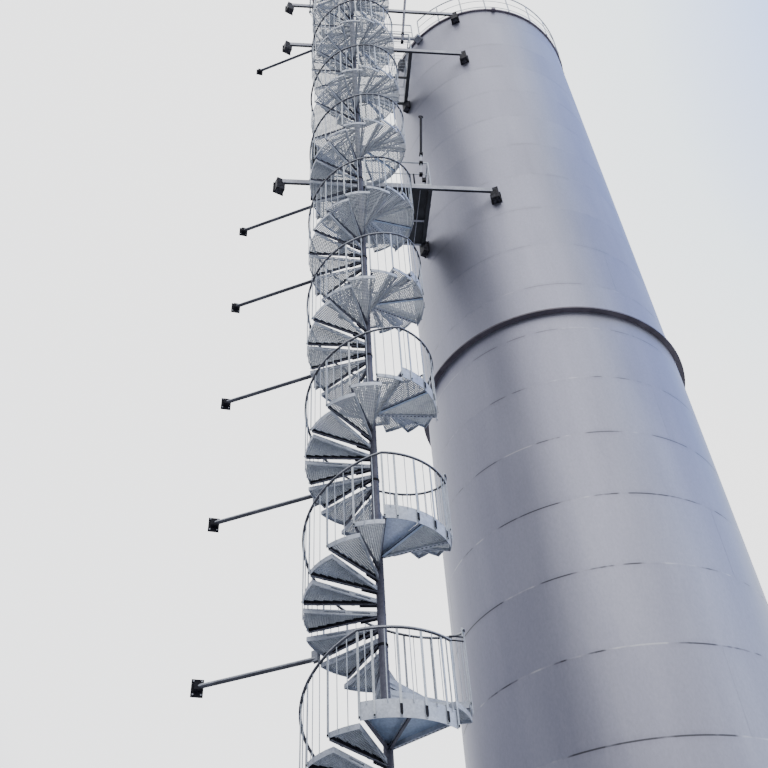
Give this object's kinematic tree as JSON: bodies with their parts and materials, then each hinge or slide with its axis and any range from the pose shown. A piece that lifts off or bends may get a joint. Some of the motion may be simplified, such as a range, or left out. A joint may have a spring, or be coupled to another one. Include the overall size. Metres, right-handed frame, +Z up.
{
  "type": "vertical storage tank",
  "caption": "Tall stainless steel storage tank with a low cone roof, a spiral access stair, service platforms between tanks, tie struts and a roof guard rail.",
  "frame": {"origin": "centre of the tank's floor plate, on the ground", "axes": "+Z up; +X along the cross beams, away from the stair; the stair stands at -X, -Y"},
  "size_m": [10.5417, 8.6492, 32.62],
  "materials": {
    "shell_steel": "mill-finish stainless plate with dark weld lines",
    "stair_zinc": "hot-dip galvanised steel",
    "rail_zinc": "hot-dip galvanised tube",
    "strut_zinc": "hot-dip galvanised tube, dark in shade",
    "beam_steel": "dark weathered steel"
  },
  "bodies": {
    "root": {"floor_plate": "shell_steel", "shell_section_1": "shell_steel", "shell_section_2": "shell_steel", "shell_section_3": "shell_steel", "shell_section_4": "shell_steel", "shell_section_5": "shell_steel", "stiffening_ring": "shell_steel", "top_rim": "shell_steel", "roof_cone": "shell_steel", "manway": "shell_steel", "outlet_nozzle": "shell_steel", "stair_column": "stair_zinc", "stair_flight_01": "stair_zinc", "stair_flight_02": "stair_zinc", "stair_flight_03": "stair_zinc", "stair_flight_04": "stair_zinc", "stair_flight_05": "stair_zinc", "stair_flight_06": "stair_zinc", "stair_flight_07": "stair_zinc", "stair_flight_08": "stair_zinc", "stair_flight_09": "stair_zinc", "stair_flight_10": "stair_zinc", "stair_flight_11": "stair_zinc", "handrail_1": "rail_zinc", "handrail_2": "rail_zinc", "handrail_3": "rail_zinc", "handrail_4": "rail_zinc", "handrail_5": "rail_zinc", "handrail_6": "rail_zinc", "handrail_7": "rail_zinc", "lower_platform_rail": "rail_zinc", "upper_platform_rail": "rail_zinc", "top_platform_rail_right": "rail_zinc", "top_platform_rail_left": "rail_zinc", "top_platform_rail_back": "rail_zinc", "roof_guard_rail": "rail_zinc", "lower_platform": "beam_steel", "upper_platform": "beam_steel", "top_platform": "beam_steel", "strut_1": "strut_zinc", "strut_2": "strut_zinc", "strut_3": "strut_zinc", "strut_4": "strut_zinc", "strut_5": "strut_zinc", "strut_6": "strut_zinc"}
  },
  "joints": []
}
